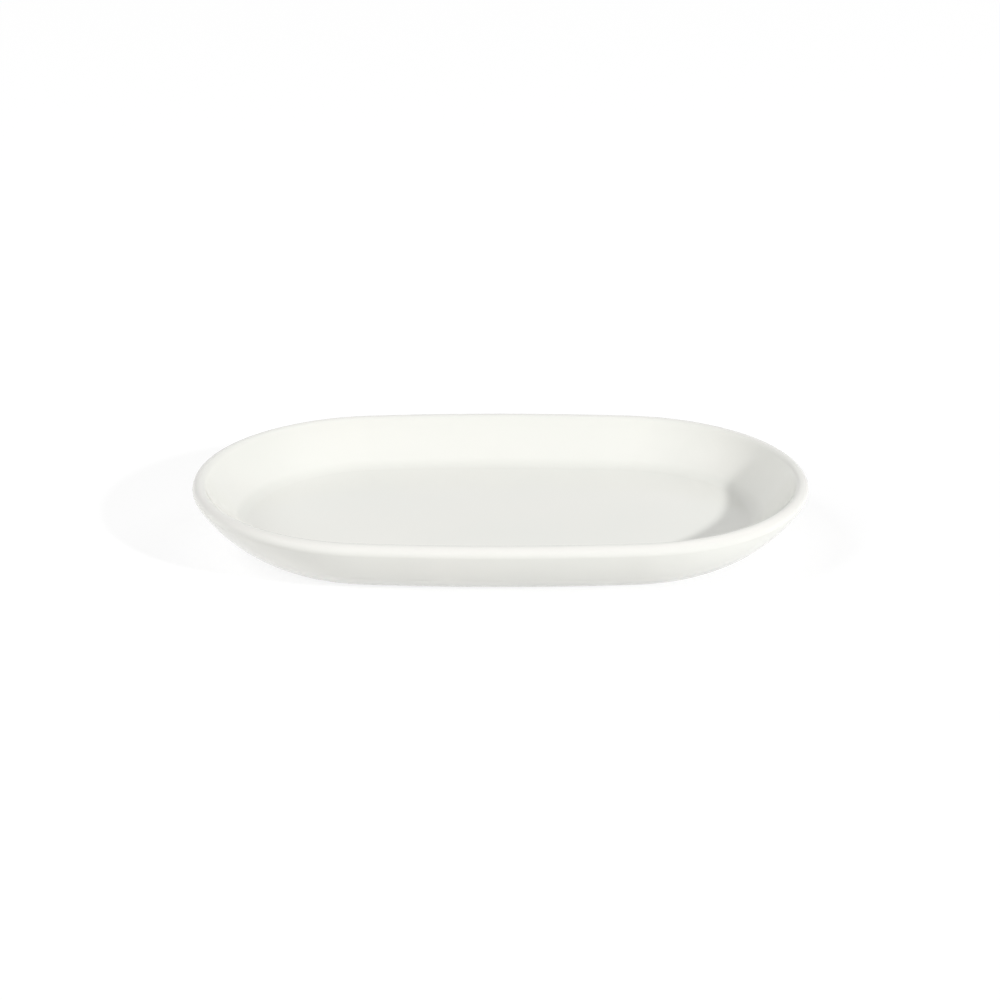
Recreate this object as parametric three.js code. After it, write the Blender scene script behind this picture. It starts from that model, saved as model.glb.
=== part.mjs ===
// Oval coupe plate in glazed hotel porcelain: a fired body with its foot ring, a glaze coat over the dish
// and the outside, and a glaze coat on the underside inside the ring.
// Millimetres, +Z up, +X along the length. The origin lies on the table, under the plate's middle.
import * as THREE from "three";

// Plan: two round ends joined by two long, gently bowed sides
const LENGTH = 240;
const WIDTH = 150;
const SIDE_RADIUS = 600;

// Section, measured on the glazed plate
const HEIGHT = 25;
const WALL_THICKNESS = 5.5;
const WALL_RADIUS = 56; // round sweep of the wall's outside, from the lip to the foot ring
const KNEE_RADIUS = 11; // round between the floor and the wall
const BASE_THICKNESS = 6.1;

// Foot ring, whose outside runs on from the wall without a step
const FOOT_INSET = 24.7; // from the plate's widest outline to the outside of the ring's level edge
const FOOT_WIDTH = 6; // from there to the ring's inner flank
const FOOT_DEPTH = 2.6; // from the table up to the level underside inside the ring
const FOOT_OUTER_RADIUS = 2.5; // round between the wall's outside and the level edge
const FOOT_INNER_RADIUS = 0.5; // round between the level edge and the inner flank
const UNDERSIDE_CORNER_RADIUS = 1.5; // hollow round where the ring runs into the underside

// Glaze: the foot is bare between the glaze line on the wall's outside and the top of its inner round
const GLAZE_THICKNESS = 0.3;
const GLAZE_LINE = 0.6; // height of the line above the table

// Facets along each stretch
const END_STEPS = 26;
const SIDE_STEPS = 4;
const KNEE_STEPS = 4;
const WALL_STEPS = 5;
const LIP_STEPS = 4;
const CORNER_STEPS = 2;

// Finishes
const BARE_PORCELAIN = { color: "#e6e2d8", roughness: 0.7, metalness: 0 };
const DISH_GLAZE = { color: "#eeeeea", roughness: 0.12, metalness: 0 };
const UNDERSIDE_GLAZE = { color: "#ebebe6", roughness: 0.15, metalness: 0 };

// The section lies in a plane where x is the inset from the widest outline and y the height
const INWARD = 0;
const UP = Math.PI / 2;
const OUTWARD = Math.PI;
const DOWN = 1.5 * Math.PI;

// The plan as normals, each with the centre and radius of the arc that it stands on
function planStations() {
  const sideOffset = SIDE_RADIUS - WIDTH / 2;
  const reach = SIDE_RADIUS - LENGTH / 2;
  const endOffset = (sideOffset ** 2 - reach ** 2) / (2 * reach);
  const endRadius = LENGTH / 2 - endOffset;
  const join = Math.atan2(sideOffset, endOffset);
  const half = [
    { x: endOffset, y: 0, radius: endRadius, from: -join, to: join, steps: END_STEPS },
    { x: 0, y: -sideOffset, radius: SIDE_RADIUS, from: join, to: Math.PI - join, steps: SIDE_STEPS },
  ].flatMap(({ x, y, radius, from, to, steps }) =>
    Array.from({ length: steps }, (_, step) => {
      const angle = from + ((to - from) * step) / steps;
      return { x, y, radius, cos: Math.cos(angle), sin: Math.sin(angle) };
    }),
  );
  const otherHalf = half.map(({ x, y, radius, cos, sin }) => {
    return { x: -x, y: -y, radius, cos: -cos, sin: -sin };
  });
  return [...half, ...otherHalf];
}

const stations = planStations();

// The plan's outline moved in by a section point's inset, at that point's height
function ring(point) {
  return stations.map(({ x, y, radius, cos, sin }) => {
    const reach = radius - point.x;
    return new THREE.Vector3(x + reach * cos, y + reach * sin, point.y);
  });
}

// Surface that a run of section points sweeps round the plan, as corners of triangles.
// It faces up where the run goes outwards, and down where the run goes inwards.
function band(points) {
  const rings = points.map(ring);
  return rings.slice(1).flatMap((next, index) => {
    const last = rings[index];
    return stations.flatMap((_, here) => {
      const there = (here + 1) % stations.length;
      return [last[here], next[here], next[there], last[here], next[there], last[there]];
    });
  });
}

// Level surface that closes the plan inside a section point, facing up
function cap(point) {
  const edge = ring(point);
  const middle = new THREE.Vector3(0, 0, point.y);
  return edge.flatMap((corner, here) => [middle, corner, edge[(here + 1) % edge.length]]);
}

// The same surface facing the other way
function turned(corners) {
  return corners.toReversed();
}

// Points of a run of rounds that touch end to end, `depth` under the surface. A hollow round has its centre
// in the air, is walked clockwise and widens with depth. A full one has it in the porcelain and narrows.
function walk(rounds, depth) {
  return rounds.flatMap(({ centre, radius, hollow, from, to, steps }, index) => {
    const depthRadius = hollow ? radius + depth : radius - depth;
    const points = new THREE.ArcCurve(centre.x, centre.y, depthRadius, from, to, hollow).getPoints(steps);
    return index === 0 ? points : points.slice(1);
  });
}

function angleTo(from, to) {
  return Math.atan2(to.y - from.y, to.x - from.x);
}

// Of the two points at the given distances from two centres, the one on the inner, upper side
function meet(first, firstDistance, second, secondDistance) {
  const span = second.clone().sub(first);
  const gap = span.length();
  const along = (firstDistance ** 2 - secondDistance ** 2 + gap ** 2) / (2 * gap);
  const aside = Math.sqrt(firstDistance ** 2 - along ** 2);
  const direction = span.divideScalar(gap);
  const side = new THREE.Vector2(-direction.y, direction.x);
  return first.clone().addScaledVector(direction, along).addScaledVector(side, aside);
}

const lipRadius = WALL_THICKNESS / 2;
const innerRadius = WALL_RADIUS - WALL_THICKNESS;
const bareRadius = WALL_RADIUS - GLAZE_THICKNESS;
const footInnerInset = FOOT_INSET + FOOT_WIDTH;

function kneeCentre() {
  const height = FOOT_DEPTH + BASE_THICKNESS + KNEE_RADIUS;
  const reach = Math.sqrt((innerRadius - KNEE_RADIUS) ** 2 - (wall.y - height) ** 2);
  return new THREE.Vector2(wall.x - reach, height);
}

// Centres of the section's rounds. The wall's two faces share one, so the wall is as thick as the lip all the
// way, and its bare outside under the glaze line runs on into the foot ring's outer round.
const lip = new THREE.Vector2(lipRadius, HEIGHT - lipRadius);
const footOuter = new THREE.Vector2(FOOT_INSET, FOOT_OUTER_RADIUS);
const wall = meet(lip, WALL_RADIUS - lipRadius, footOuter, bareRadius - FOOT_OUTER_RADIUS);
const knee = kneeCentre();

// Directions from the wall's centre to where its rounds end
const toKnee = angleTo(wall, knee);
const toLip = angleTo(wall, lip);
const toGlazeLine = Math.asin((wall.y - GLAZE_LINE) / WALL_RADIUS) - Math.PI;
const toFoot = angleTo(wall, footOuter);

// Section from the floor's edge up the inside, over the lip and down the outside to the glaze line
function dishSection(depth) {
  const wallRound = { centre: wall, steps: WALL_STEPS };
  const lipRound = { centre: lip, radius: lipRadius, hollow: false, steps: LIP_STEPS };
  const rounds = [
    { centre: knee, radius: KNEE_RADIUS, hollow: true, from: DOWN, to: toKnee, steps: KNEE_STEPS },
    { ...wallRound, radius: innerRadius, hollow: true, from: toKnee, to: toLip },
    { ...lipRound, from: toLip + Math.PI, to: UP },
    { ...lipRound, from: UP, to: OUTWARD },
    { ...lipRound, from: OUTWARD, to: toLip },
    { ...wallRound, radius: WALL_RADIUS, hollow: false, from: toLip, to: toGlazeLine },
  ];
  return walk(rounds, depth);
}

// Section of the bare foot, from the glaze line over the level edge to the ring's inner flank
function bareSection() {
  const inset = footInnerInset - GLAZE_THICKNESS - FOOT_INNER_RADIUS;
  const footInner = new THREE.Vector2(inset, FOOT_INNER_RADIUS);
  const round = { hollow: false, steps: CORNER_STEPS };
  const outside = [
    { ...round, centre: wall, radius: bareRadius, from: toGlazeLine, to: toFoot },
    { ...round, centre: footOuter, radius: FOOT_OUTER_RADIUS, from: toFoot, to: DOWN },
  ];
  const inside = [{ ...round, centre: footInner, radius: FOOT_INNER_RADIUS, from: DOWN, to: INWARD }];
  return [...walk(outside, 0), ...walk(inside, 0)];
}

// Section from the top of the ring's inner round up its inner flank to the level underside
function undersideSection(depth) {
  const cornerHeight = FOOT_DEPTH - UNDERSIDE_CORNER_RADIUS;
  const corner = {
    centre: new THREE.Vector2(footInnerInset + UNDERSIDE_CORNER_RADIUS, cornerHeight),
    radius: UNDERSIDE_CORNER_RADIUS,
    hollow: true,
    from: OUTWARD,
    to: UP,
    steps: CORNER_STEPS,
  };
  return [new THREE.Vector2(footInnerInset - depth, FOOT_INNER_RADIUS), ...walk([corner], depth)];
}

function dishSkin(depth) {
  const section = dishSection(depth);
  return [...cap(section[0]), ...band(section)];
}

function undersideSkin(depth) {
  const section = undersideSection(depth);
  return [...band(section), ...turned(cap(section.at(-1)))];
}

function porcelainBody() {
  return [...dishSkin(GLAZE_THICKNESS), ...band(bareSection()), ...undersideSkin(GLAZE_THICKNESS)];
}

// A glaze coat's faces are the finished surface, the same surface one glaze thickness down, and the narrow
// edge between the two at the foot ring
function dishGlaze() {
  const edge = band([dishSection(0).at(-1), dishSection(GLAZE_THICKNESS).at(-1)]);
  return [...dishSkin(0), ...edge, ...turned(dishSkin(GLAZE_THICKNESS))];
}

function undersideGlaze() {
  const edge = band([undersideSection(GLAZE_THICKNESS)[0], undersideSection(0)[0]]);
  return [...turned(undersideSkin(GLAZE_THICKNESS)), ...edge, ...undersideSkin(0)];
}

function piece(name, corners, finish) {
  const geometry = new THREE.BufferGeometry().setFromPoints(corners);
  geometry.computeVertexNormals();
  const mesh = new THREE.Mesh(geometry, new THREE.MeshStandardMaterial(finish));
  mesh.name = name;
  return mesh;
}

const plate = new THREE.Group();
plate.add(
  piece("porcelain_body", porcelainBody(), BARE_PORCELAIN),
  piece("dish_glaze", dishGlaze(), DISH_GLAZE),
  piece("underside_glaze", undersideGlaze(), UNDERSIDE_GLAZE),
);

export default plate;
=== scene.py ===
"""Looks of an oval plate in glazed porcelain: finely turned pieces, their materials, studio and camera."""

import math

import bpy
import numpy as np
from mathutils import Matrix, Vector


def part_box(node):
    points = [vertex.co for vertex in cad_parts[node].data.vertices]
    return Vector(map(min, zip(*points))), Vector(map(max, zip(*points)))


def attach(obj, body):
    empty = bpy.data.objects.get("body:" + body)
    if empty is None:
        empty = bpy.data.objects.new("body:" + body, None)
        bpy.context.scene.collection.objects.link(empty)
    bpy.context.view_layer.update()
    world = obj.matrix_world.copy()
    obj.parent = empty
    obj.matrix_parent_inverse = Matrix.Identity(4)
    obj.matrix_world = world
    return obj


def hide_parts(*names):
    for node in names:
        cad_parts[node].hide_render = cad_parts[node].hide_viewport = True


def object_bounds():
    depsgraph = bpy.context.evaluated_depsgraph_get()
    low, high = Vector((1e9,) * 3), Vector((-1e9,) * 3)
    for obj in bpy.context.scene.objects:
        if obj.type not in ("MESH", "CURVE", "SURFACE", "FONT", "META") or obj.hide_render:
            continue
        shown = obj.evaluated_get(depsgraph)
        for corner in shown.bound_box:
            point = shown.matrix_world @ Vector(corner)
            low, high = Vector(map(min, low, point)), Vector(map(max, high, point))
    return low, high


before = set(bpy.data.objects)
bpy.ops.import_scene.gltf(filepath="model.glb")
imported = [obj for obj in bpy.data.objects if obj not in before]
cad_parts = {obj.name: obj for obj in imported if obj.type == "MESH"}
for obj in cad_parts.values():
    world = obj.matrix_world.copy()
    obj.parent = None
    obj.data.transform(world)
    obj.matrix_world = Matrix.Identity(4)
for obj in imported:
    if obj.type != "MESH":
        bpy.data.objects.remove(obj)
cad_low, cad_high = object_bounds()
cad_size = cad_high - cad_low
body_low, body_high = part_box("porcelain_body")
dish_glaze_low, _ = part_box("dish_glaze")
underside_glaze_low, underside_glaze_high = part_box("underside_glaze")

# Plan and section of the plate, in metres; the overall sizes and levels come from the parts in model.glb
HALF_LENGTH = cad_size.x / 2
HALF_WIDTH = cad_size.y / 2
HEIGHT = cad_size.z
GLAZE = HALF_LENGTH - (body_high.x - body_low.x) / 2  # thickness of a glaze coat
GLAZE_LINE = dish_glaze_low.z  # height of the dish glaze's lower edge
FOOT_INNER_RADIUS = underside_glaze_low.z  # round between the foot ring's level edge and its inner flank
FOOT_DEPTH = underside_glaze_high.z - GLAZE  # from the table up to the underside inside the ring
SIDE_RADIUS = 0.600  # the plan's two long, bowed sides
WALL = 0.0055  # thickness of the wall with its glaze
WALL_RADIUS = 0.056  # round sweep of the wall's outside
KNEE_RADIUS = 0.011  # round between the floor and the wall
BASE = 0.0061  # thickness of the base with its glaze
FOOT_INSET = 0.0247  # from the widest outline to the outside of the foot ring's level edge
FOOT_WIDTH = 0.006  # from there to the ring's inner flank
FOOT_OUTER_RADIUS = 0.0025  # round between the wall's outside and the level edge
UNDERSIDE_CORNER = 0.0015  # hollow round where the ring runs into the underside
LIP_RADIUS = WALL / 2
INNER_RADIUS = WALL_RADIUS - WALL
BARE_RADIUS = WALL_RADIUS - GLAZE
DISH_FLOOR = FOOT_DEPTH + BASE
FOOT_INNER_INSET = FOOT_INSET + FOOT_WIDTH

# How finely each stretch is turned
END_STEPS = 112
SIDE_STEPS = 24
KNEE_STEPS = 16
WALL_STEPS = 16
LIP_STEPS = 10
CORNER_STEPS = 8
FLANK_STEPS = 4
LINE_STEPS = 4
DISC_RINGS = 10
SHARP_ANGLE = math.radians(50)  # edges that turn by more than this are shaded sharp

# The sponged glaze line wavers up the surface by up to LINE_WAVER, in waves per turn with their phases,
# and the glaze above it follows over LINE_REACH
LINE_WAVER = 0.00022
LINE_WAVES = ((5, 0.4), (11, 2.1), (23, 4.4), (37, 1.3))
LINE_REACH = 0.003

# Directions in the section, whose first axis is the inset from the widest outline and second the height
DOWN = -math.pi / 2
INWARD = 0.0
UP = math.pi / 2
OUTWARD = math.pi
QUARTER_TURN = math.pi / 2
FULL_TURN = 2 * math.pi

# How the glaze lies, as a value that each point of a piece carries
FILM = "film"
POOLED = 1
# The lip's value picks a tone that is warmer where the glaze runs thinly, and darker as painted shade
THIN_SHADED = -1

# Tones of the two glaze coats, in linear light
DISH_TONES = {
    "full": (0.821, 0.818, 0.775, 1),
    "drifted": (0.805, 0.808, 0.766, 1),
    "pooled": (0.800, 0.803, 0.758, 1),
    # The lip's tone is darker than its thinly laid glaze would make it: painted shade that dims the lip
    # where the lamps catch it
    "thin_shaded": (0.795, 0.787, 0.752, 1),
}
UNDERSIDE_TONES = {
    "full": (0.835, 0.838, 0.792, 1),
    "drifted": (0.815, 0.822, 0.780, 1),
    "pooled": (0.810, 0.817, 0.774, 1),
    "thin_shaded": (0.815, 0.808, 0.770, 1),
}

# The glaze's broad drift of tone, and the ripple, peel and changing roughness of its gloss.
# A noise's scale is in waves per metre, and its range is the stretch of its values that is used.
DRIFT_NOISE = {"scale": 16.0, "detail": 2.0}
DRIFT_RANGE = (0.35, 0.65)
RIPPLE_NOISE = {"scale": 60.0, "detail": 1.0}
RIPPLE_HEIGHT = 0.00003
PEEL_NOISE = {"scale": 750.0, "detail": 1.0}
PEEL_HEIGHT = 0.000003
GLOSS_NOISE = {"scale": 240.0, "detail": 3.0}
GLOSS_RANGE = (0.3, 0.7)
GLOSS_ROUGHNESS = (0.09, 0.14)
GLAZE_IOR = 1.5

# Specks of the body that show through the glaze, one in each of a small share of the cells of a pattern.
# A speck fades out from its core to its edge, both in cell widths.
SPECK_SCALE = 170.0
SPECK_CORE = 0.03
SPECK_EDGE = 0.055
SPECK_TONE = (0.52, 0.47, 0.40, 1)
SPECK_STRENGTH = 0.35
SPECK_STEP = 0.001  # the span of cell values over which a cell starts to have its speck
DISH_SPECK_SHARE = 0.012
UNDERSIDE_SPECK_SHARE = 0.03

# Bare porcelain: a fine matte grain, rubbed grey in patches
GRAIN_NOISE = {"scale": 2600.0, "detail": 4.0}
GRAIN_RANGE = (0.3, 0.7)
GRAIN_DARK = (0.76, 0.73, 0.66, 1)
GRAIN_LIGHT = (0.84, 0.82, 0.76, 1)
GRAIN_HEIGHT = 0.00004
RUB_NOISE = {"scale": 85.0, "detail": 4.0}
RUB_RANGE = (0.52, 0.68)
RUB_STRENGTH = 0.4
RUB_TONE = (0.55, 0.53, 0.49, 1)
BARE_ROUGHNESS = 0.8
RUBBED_ROUGHNESS = 0.6

# Camera: the photograph's viewpoint, and the point at the middle of its frame.
# The lens and the sensor are in millimetres.
CAMERA_DISTANCE = 1.2
CAMERA_ELEVATION = math.radians(22.0)
CAMERA_AIM = Vector((-0.0002, 0, 0.0152))
CAMERA_LENS = 109.9
CAMERA_SENSOR = 36.0

# Studio: a white table that the camera sees as a glow with a soft shade, a white backdrop and four lamps.
# A lamp's azimuth is in degrees to the right of the camera, its elevation in degrees up from the table,
# its size in metres and its power in watts.
WHITE = (1, 1, 1, 1)
FLOOR_HALF = 6.0
FLOOR_COLOUR = (0.90, 0.90, 0.90, 1)
FLOOR_GLOW = 0.86
FLOOR_SHADE = (0.17, 0.17, 0.17, 1)
BACKDROP_GLOW = 1.0
AMBIENT = 0.06
LAMP_DISTANCE = 4.0
LAMPS = {
    "key": {"azimuth": 49, "elevation": 24.5, "size": 0.23, "power": 129},
    "side": {"azimuth": -60, "elevation": 30, "size": 1.5, "power": 58.5},
    "top": {"azimuth": -90, "elevation": 50, "size": 1.5, "power": 51},
    "back": {"azimuth": 130, "elevation": 34, "size": 2.0, "power": 40},
}

# Places of a Mix node's colour sockets, which share their names with its other sockets
MIX_FIRST = 6
MIX_SECOND = 7
MIX_RESULT = 2


def turn(steps, *directions):
    """Directions that turn from each of the given ones to the next."""
    spans = zip(directions, directions[1:])
    legs = [np.linspace(start, end, steps, endpoint=False) for start, end in spans]
    return np.concatenate((*legs, directions[-1:]))


def arc(centre, radius, angles):
    """Points of a round of the section in the given directions from its centre."""
    return np.column_stack((centre[0] + radius * np.cos(angles), centre[1] + radius * np.sin(angles)))


def angle_to(start, end):
    return math.atan2(end[1] - start[1], end[0] - start[0])


def meet(first, first_distance, second, second_distance):
    """Of the two points at given distances from two centres, the one on the inner, upper side."""
    span = second - first
    gap = np.linalg.norm(span)
    along = (first_distance ** 2 - second_distance ** 2 + gap ** 2) / (2 * gap)
    aside = math.sqrt(first_distance ** 2 - along ** 2)
    direction = span / gap
    return first + along * direction + aside * np.array((-direction[1], direction[0]))


def knee_centre(wall):
    height = DISH_FLOOR + KNEE_RADIUS
    reach = math.sqrt((INNER_RADIUS - KNEE_RADIUS) ** 2 - (wall[1] - height) ** 2)
    return np.array((wall[0] - reach, height))


# Centres of the section's rounds, and the directions from the wall's centre to where its rounds end
LIP = np.array((LIP_RADIUS, HEIGHT - LIP_RADIUS))
FOOT_OUTER = np.array((FOOT_INSET, FOOT_OUTER_RADIUS))
WALL_CENTRE = meet(LIP, WALL_RADIUS - LIP_RADIUS, FOOT_OUTER, BARE_RADIUS - FOOT_OUTER_RADIUS)
KNEE = knee_centre(WALL_CENTRE)
TO_KNEE = angle_to(WALL_CENTRE, KNEE)
TO_LIP = angle_to(WALL_CENTRE, LIP)
TO_FOOT = angle_to(WALL_CENTRE, FOOT_OUTER)
TO_BEAD = math.asin((WALL_CENTRE[1] - GLAZE_LINE) / WALL_RADIUS) - math.pi - GLAZE / WALL_RADIUS
TO_LINE_REACH = TO_BEAD - LINE_REACH / WALL_RADIUS
UPHILL = np.array((math.sin(TO_BEAD), -math.cos(TO_BEAD)))


def stretch(points, film=0.0, slide=(0.0, 0.0)):
    """Rows of a section: each point, its film of glaze, and how it slides as the glaze line wavers."""
    count = len(points)
    return np.column_stack((points, np.broadcast_to(film, count), np.broadcast_to(slide, (count, 2))))


def swell(angles):
    """Nought at both ends of a round and one in its middle."""
    return np.sin(math.pi * (angles - angles[0]) / (angles[-1] - angles[0])) ** 2


def dish_section(depth):
    """From the floor's edge up the inside, over the lip and down the outside to the glaze line's bead."""
    knee_turn = turn(KNEE_STEPS, DOWN, TO_KNEE)
    lip_turn = turn(LIP_STEPS, TO_LIP + math.pi, UP, OUTWARD, TO_LIP + FULL_TURN)
    line_turn = turn(LINE_STEPS, TO_LINE_REACH, TO_BEAD)
    line_slide = np.outer(np.linspace(0, 1, LINE_STEPS + 1), UPHILL)
    return np.concatenate((
        stretch(arc(KNEE, KNEE_RADIUS + depth, knee_turn), film=POOLED * swell(knee_turn)),
        stretch(arc(WALL_CENTRE, INNER_RADIUS + depth, turn(WALL_STEPS, TO_KNEE, TO_LIP)))[1:],
        # The lip takes the tone for thinly laid glaze, which is partly painted shade
        stretch(arc(LIP, LIP_RADIUS - depth, lip_turn), film=THIN_SHADED * swell(lip_turn))[1:],
        stretch(arc(WALL_CENTRE, WALL_RADIUS - depth, turn(WALL_STEPS, TO_LIP, TO_LINE_REACH)))[1:],
        stretch(arc(WALL_CENTRE, WALL_RADIUS - depth, line_turn), slide=line_slide)[1:],
    ))


def bare_section():
    """The bare foot, from the glaze line over the level edge to the foot ring's inner flank."""
    inner = (FOOT_INNER_INSET - GLAZE - FOOT_INNER_RADIUS, FOOT_INNER_RADIUS)
    return np.concatenate((
        stretch(arc(WALL_CENTRE, BARE_RADIUS, turn(CORNER_STEPS, TO_BEAD, TO_FOOT)))[1:],
        stretch(arc(FOOT_OUTER, FOOT_OUTER_RADIUS, turn(CORNER_STEPS, TO_FOOT, DOWN)))[1:],
        stretch(arc(inner, FOOT_INNER_RADIUS, turn(CORNER_STEPS, DOWN, INWARD))),
    ))


def underside_section(depth):
    """From the foot ring's inner flank to the level underside."""
    corner = (FOOT_INNER_INSET + UNDERSIDE_CORNER, FOOT_DEPTH - UNDERSIDE_CORNER)
    flank = np.linspace(FOOT_INNER_RADIUS + GLAZE, corner[1], FLANK_STEPS + 1)
    flank_points = np.column_stack((np.full(FLANK_STEPS + 1, FOOT_INNER_INSET - depth), flank))
    flank_slide = np.outer(np.linspace(1, 0, FLANK_STEPS + 1), (0, 1))
    corner_turn = turn(CORNER_STEPS, OUTWARD, UP)
    corner_points = arc(corner, UNDERSIDE_CORNER + depth, corner_turn)
    return np.concatenate((
        stretch(flank_points, slide=flank_slide),
        stretch(corner_points, film=POOLED * swell(corner_turn))[1:],
    ))


def dish_bead():
    """The rolled lower edge of the dish's glaze, from its face in to the porcelain."""
    centre = WALL_CENTRE + BARE_RADIUS * np.array((math.cos(TO_BEAD), math.sin(TO_BEAD)))
    return stretch(arc(centre, GLAZE, turn(CORNER_STEPS, TO_BEAD, TO_BEAD + QUARTER_TURN)), slide=UPHILL)


def underside_bead():
    """The rolled lower edge of the underside's glaze, from the porcelain out to its face."""
    centre = (FOOT_INNER_INSET - GLAZE, FOOT_INNER_RADIUS + GLAZE)
    return stretch(arc(centre, GLAZE, turn(CORNER_STEPS, DOWN, INWARD)), slide=(0, 1))


def arc_stations(x, y, radius, start, end, steps):
    """Rows of arc centre, arc radius and outward direction along one arc of the plan."""
    angles = np.linspace(start, end, steps, endpoint=False)
    return np.column_stack((np.tile((x, y, radius), (steps, 1)), np.cos(angles), np.sin(angles)))


def plan_stations():
    """Stations once round the plan: an end and a side, and the same two turned half way round."""
    side_offset = SIDE_RADIUS - HALF_WIDTH
    reach = SIDE_RADIUS - HALF_LENGTH
    end_offset = (side_offset ** 2 - reach ** 2) / (2 * reach)
    join = math.atan2(side_offset, end_offset)
    end = arc_stations(end_offset, 0, HALF_LENGTH - end_offset, -join, join, END_STEPS)
    side = arc_stations(0, -side_offset, SIDE_RADIUS, join, math.pi - join, SIDE_STEPS)
    half = np.concatenate((end, side))
    other_half = half * (-1, -1, 1, -1, -1)
    return np.concatenate((half, other_half))


STATIONS = plan_stations()


def line_waver():
    """How far the glaze line has wavered upwards at each station."""
    round_plan = np.linspace(0, FULL_TURN, len(STATIONS), endpoint=False)
    waves = sum(np.sin(count * round_plan + phase) for count, phase in LINE_WAVES)
    return LINE_WAVER * (waves - waves.min()) / (waves.max() - waves.min())


def rings(section):
    """The plan's outline at each section point, as an array of rings of points."""
    inset, height, _, slide_in, slide_up = section.T[:, :, None]
    x, y, radius, cos, sin = STATIONS.T
    waver = line_waver()
    reach = radius - inset - slide_in * waver
    return np.stack((x + reach * cos, y + reach * sin, height + slide_up * waver), axis=-1)


def middle_of(ring):
    """The point on the plate's upright axis at a level ring's height."""
    return ring[0] * (0, 0, 1)


def disc(ring):
    """Rings that shrink from a ring to just short of its middle."""
    middle = middle_of(ring)
    shares = np.linspace(1, 0, DISC_RINGS + 1)[1:-1]
    return middle + shares[:, None, None] * (ring - middle)


def turned_faces(count, around):
    """Faces between the rings, and fans to the two middles, whose points come after the rings' points."""
    here = np.arange(around)
    there = (here + 1) % around
    upper = around * np.arange(count - 1)[:, None]
    lower = upper + around
    last = around * (count - 1)
    top = np.full(around, around * count)
    bottom = top + 1
    bands = np.stack((upper + here, lower + here, lower + there, upper + there), axis=-1).reshape(-1, 4)
    top_fan = np.column_stack((top, here, there))
    bottom_fan = np.column_stack((bottom, last + there, last + here))
    return [*bands.tolist(), *top_fan.tolist(), *bottom_fan.tolist()]


def turned_mesh(name, section):
    """A closed mesh whose section sweeps round the plan, from the middle of its top to its underside's."""
    swept = rings(section)
    grid = np.concatenate((disc(swept[0])[::-1], swept, disc(swept[-1])))
    count, around, _ = grid.shape
    points = np.concatenate((*grid, [middle_of(grid[0]), middle_of(grid[-1])]))
    _, _, film, _, _ = section.T
    disc_film = np.zeros(DISC_RINGS - 1)
    ring_film = np.concatenate((disc_film, film, disc_film))
    point_film = np.append(np.repeat(ring_film, around), (0, 0))
    mesh = bpy.data.meshes.new(name)
    mesh.from_pydata(points.tolist(), [], turned_faces(count, around))
    mesh.attributes.new(FILM, "FLOAT", "POINT").data.foreach_set("value", point_film.astype(np.float32))
    mesh.shade_smooth()
    mesh.set_sharp_from_angle(angle=SHARP_ANGLE)
    return mesh


def turned_piece(name, section, material, node):
    """A turned piece of the plate, which stands for a node."""
    mesh = turned_mesh(name, section)
    mesh.materials.append(material)
    piece = bpy.data.objects.new(name, mesh)
    bpy.context.scene.collection.objects.link(piece)
    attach(piece, "root")
    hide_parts(node)


class Shader:
    """The node tree of a material or the world, under construction."""

    def __init__(self, owner, output_kind):
        owner.use_nodes = True
        self.tree = owner.node_tree
        self.tree.nodes.clear()
        self.output = self.tree.nodes.new(output_kind)

    def feed(self, socket, value):
        """Sets a socket to a value, or links another socket to it."""
        if isinstance(value, bpy.types.NodeSocket):
            self.tree.links.new(value, socket)
        else:
            socket.default_value = value

    def node(self, kind, settings=None, **inputs):
        """Adds a node; settings are its properties, and inputs feed its sockets by name."""
        node = self.tree.nodes.new(kind)
        for key, value in (settings or {}).items():
            setattr(node, key, value)
        for key, value in inputs.items():
            self.feed(node.inputs[key.replace("_", " ")], value)
        return node

    def joined(self, kind, *values, **settings):
        """Adds a node that joins the values, which feed its sockets in order, and gives its output."""
        node = self.node(kind, settings)
        for socket, value in zip(node.inputs, values):
            self.feed(socket, value)
        return node.outputs[0]

    def place(self):
        return self.node("ShaderNodeTexCoord").outputs["Object"]

    def noise(self, scale, detail):
        noise = self.node("ShaderNodeTexNoise", Vector=self.place(), Scale=scale, Detail=detail)
        return noise.outputs["Fac"]

    def ranged(self, value, low, high, to_low=0.0, to_high=1.0):
        """Value rescaled from one range to another, and held inside it."""
        return self.node("ShaderNodeMapRange", Value=value, From_Min=low, From_Max=high,
                         To_Min=to_low, To_Max=to_high).outputs["Result"]

    def mixed(self, factor, first, second):
        """A colour between two colours."""
        node = self.node("ShaderNodeMix", {"data_type": "RGBA"}, Factor=factor)
        self.feed(node.inputs[MIX_FIRST], first)
        self.feed(node.inputs[MIX_SECOND], second)
        return node.outputs[MIX_RESULT]

    def product(self, first, second):
        return self.joined("ShaderNodeMath", first, second, operation="MULTIPLY")

    def larger(self, first, second):
        return self.joined("ShaderNodeMath", first, second, operation="MAXIMUM")

    def bump(self, height, distance, **inputs):
        return self.node("ShaderNodeBump", Height=height, Distance=distance, **inputs).outputs["Normal"]

    def light(self, kind, **inputs):
        """The output of a node that scatters or gives light."""
        return self.node(kind, **inputs).outputs[0]

    def seen_share(self):
        """One for rays to the camera or through gloss and glass, and nought for rays that carry light."""
        path = self.node("ShaderNodeLightPath").outputs
        seen = self.larger(path["Is Camera Ray"], path["Is Glossy Ray"])
        return self.larger(seen, path["Is Transmission Ray"])

    def finish(self, surface):
        self.feed(self.output.inputs["Surface"], surface)


def new_material(name):
    """A material, and the shader to build its looks with."""
    material = bpy.data.materials.new(name)
    return material, Shader(material, "ShaderNodeOutputMaterial")


def specks(shader, share):
    """How strongly a speck shows at each place."""
    cells = shader.node("ShaderNodeTexVoronoi", Vector=shader.place(), Scale=SPECK_SCALE).outputs
    near = shader.ranged(cells["Distance"], SPECK_EDGE, SPECK_CORE)
    chosen = shader.ranged(cells["Color"], 1 - share, 1 - share + SPECK_STEP)
    return shader.product(shader.product(near, chosen), SPECK_STRENGTH)


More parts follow.
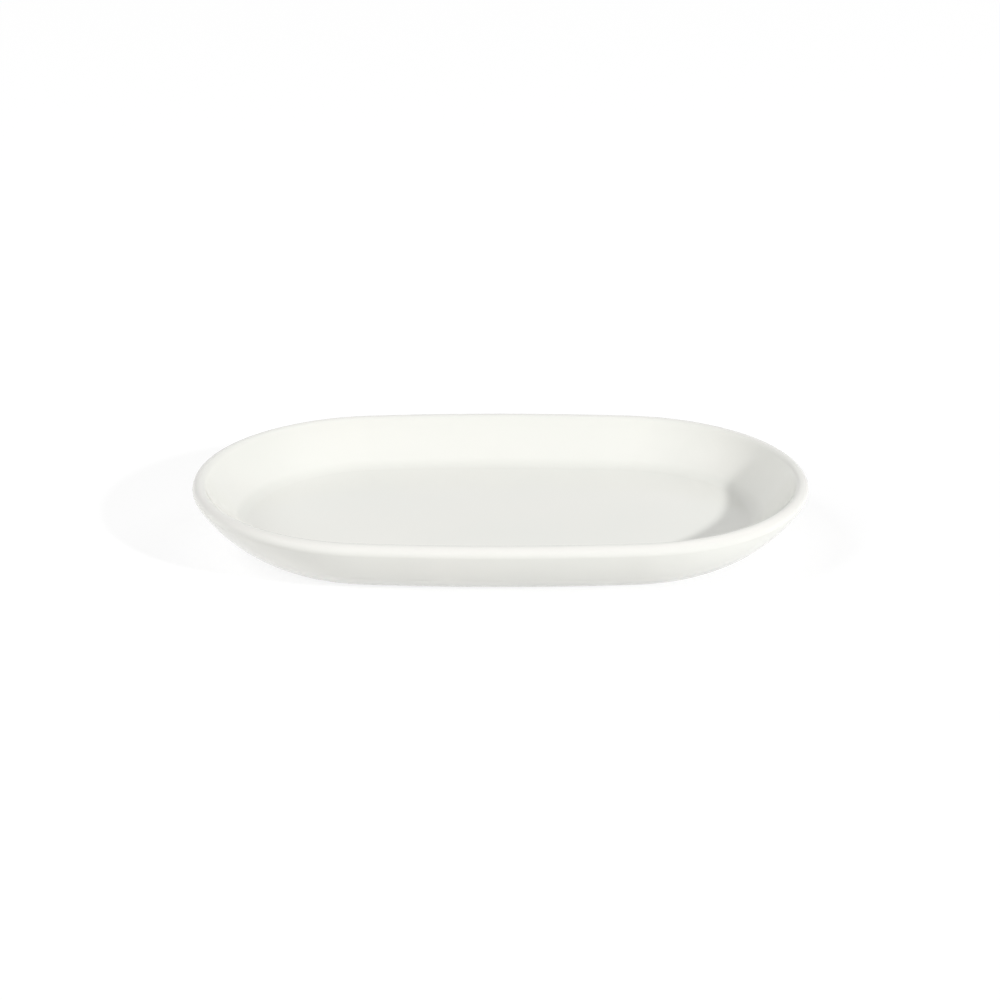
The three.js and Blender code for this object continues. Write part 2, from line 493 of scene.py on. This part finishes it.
def glaze_material(name, tones, speck_share):
    """Glossy off-white glaze: a broad drift of tone, warmer where it runs thinly on the lip and darker
    there as painted shade, cooler where it pools, a faint ripple and a fine peel in the gloss, and a few
    specks in the body showing through."""
    material, shader = new_material(name)
    drift = shader.ranged(shader.noise(**DRIFT_NOISE), *DRIFT_RANGE)
    film = shader.node("ShaderNodeAttribute", {"attribute_name": FILM}).outputs["Fac"]
    colour = shader.mixed(drift, tones["full"], tones["drifted"])
    colour = shader.mixed(shader.ranged(film, 0, POOLED), colour, tones["pooled"])
    # Lip: warmer tone of thinly laid glaze, darkened further as painted shade
    colour = shader.mixed(shader.ranged(film, 0, THIN_SHADED), colour, tones["thin_shaded"])
    colour = shader.mixed(specks(shader, speck_share), colour, SPECK_TONE)
    ripple = shader.bump(shader.noise(**RIPPLE_NOISE), RIPPLE_HEIGHT)
    peel = shader.bump(shader.noise(**PEEL_NOISE), PEEL_HEIGHT, Normal=ripple)
    roughness = shader.ranged(shader.noise(**GLOSS_NOISE), *GLOSS_RANGE, *GLOSS_ROUGHNESS)
    shader.finish(shader.light("ShaderNodeBsdfPrincipled", Base_Color=colour, Roughness=roughness,
                               Normal=peel, IOR=GLAZE_IOR))
    return material


def bare_material():
    """Unglazed porcelain: a warm matte biscuit with a fine grain, rubbed a little grey in patches."""
    material, shader = new_material("bare_porcelain")
    grain = shader.noise(**GRAIN_NOISE)
    rubbed = shader.ranged(shader.noise(**RUB_NOISE), *RUB_RANGE, 0, RUB_STRENGTH)
    colour = shader.mixed(shader.ranged(grain, *GRAIN_RANGE), GRAIN_DARK, GRAIN_LIGHT)
    colour = shader.mixed(rubbed, colour, RUB_TONE)
    roughness = shader.ranged(rubbed, 0, RUB_STRENGTH, BARE_ROUGHNESS, RUBBED_ROUGHNESS)
    normal = shader.bump(grain, GRAIN_HEIGHT)
    shader.finish(shader.light("ShaderNodeBsdfPrincipled", Base_Color=colour, Roughness=roughness,
                               Normal=normal))
    return material


def build_body():
    """The fired body, which takes the points of the sections alone: it has no film and doesn't waver."""
    section = np.concatenate((dish_section(GLAZE), bare_section(), underside_section(GLAZE)))
    points = section[:, :2]
    turned_piece("fired_body", stretch(points), bare_material(), "porcelain_body")


def build_dish_glaze():
    """The coat over the dish and the outside: its face, its bead and its back on the porcelain."""
    section = np.concatenate((dish_section(0), dish_bead()[1:], dish_section(GLAZE)[::-1]))
    material = glaze_material("dish_glaze", DISH_TONES, DISH_SPECK_SHARE)
    turned_piece("glaze_over_dish", section, material, "dish_glaze")


def build_underside_glaze():
    """The coat inside the foot ring: its back on the porcelain, its bead and its face."""
    section = np.concatenate((underside_section(GLAZE)[::-1], underside_bead(), underside_section(0)[1:]))
    material = glaze_material("underside_glaze", UNDERSIDE_TONES, UNDERSIDE_SPECK_SHARE)
    turned_piece("glaze_under_base", section, material, "underside_glaze")


def floor_material():
    """White table: its plain colour carries light, and the camera sees it glow under a soft shadow."""
    material, shader = new_material("white_table")
    lit = shader.light("ShaderNodeBsdfDiffuse", Color=FLOOR_COLOUR)
    shade = shader.light("ShaderNodeBsdfDiffuse", Color=FLOOR_SHADE)
    glow = shader.light("ShaderNodeEmission", Color=WHITE, Strength=FLOOR_GLOW)
    seen = shader.joined("ShaderNodeAddShader", shade, glow)
    shader.finish(shader.joined("ShaderNodeMixShader", shader.seen_share(), lit, seen))
    return material


def build_floor():
    signs = ((-1, -1), (1, -1), (1, 1), (-1, 1))
    corners = [(x * FLOOR_HALF, y * FLOOR_HALF, 0) for x, y in signs]
    mesh = bpy.data.meshes.new("table_top")
    mesh.from_pydata(corners, [], [(0, 1, 2, 3)])
    mesh.materials.append(floor_material())
    floor = bpy.data.objects.new("table_top", mesh)
    bpy.context.scene.collection.objects.link(floor)


def build_backdrop():
    """White backdrop all round, which gives only a little light of its own."""
    world = bpy.data.worlds.new("studio")
    bpy.context.scene.world = world
    shader = Shader(world, "ShaderNodeOutputWorld")
    ambient = shader.light("ShaderNodeBackground", Color=WHITE, Strength=AMBIENT)
    backdrop = shader.light("ShaderNodeBackground", Color=WHITE, Strength=BACKDROP_GLOW)
    shader.finish(shader.joined("ShaderNodeMixShader", shader.seen_share(), ambient, backdrop))


def build_lamp(name, azimuth, elevation, size, power):
    """A round soft lamp that faces the plate and doesn't show in its gloss."""
    turned = math.radians(azimuth)
    raised = math.radians(elevation)
    level = math.cos(raised)
    direction = Vector((math.sin(turned) * level, -math.cos(turned) * level, math.sin(raised)))
    lamp = bpy.data.lights.new(name, "AREA")
    lamp.shape = "DISK"
    lamp.size = size
    lamp.energy = power
    holder = bpy.data.objects.new(name, lamp)
    holder.location = direction * LAMP_DISTANCE
    holder.rotation_mode = "QUATERNION"
    holder.rotation_quaternion = (-direction).to_track_quat("-Z", "Y")
    holder.visible_glossy = False
    bpy.context.scene.collection.objects.link(holder)


def build_camera():
    back = Vector((0, -math.cos(CAMERA_ELEVATION), math.sin(CAMERA_ELEVATION)))
    lens = bpy.data.cameras.new("camera")
    lens.lens = CAMERA_LENS
    lens.sensor_width = CAMERA_SENSOR
    camera = bpy.data.objects.new("camera", lens)
    camera.location = back * CAMERA_DISTANCE
    camera.rotation_mode = "QUATERNION"
    camera.rotation_quaternion = (CAMERA_AIM - camera.location).to_track_quat("-Z", "Y")
    bpy.context.scene.collection.objects.link(camera)
    bpy.context.scene.camera = camera


build_body()
build_dish_glaze()
build_underside_glaze()
build_floor()
build_backdrop()
for lamp_name, lamp_setup in LAMPS.items():
    build_lamp(lamp_name, **lamp_setup)
build_camera()
bpy.context.scene.view_settings.view_transform = "Standard"
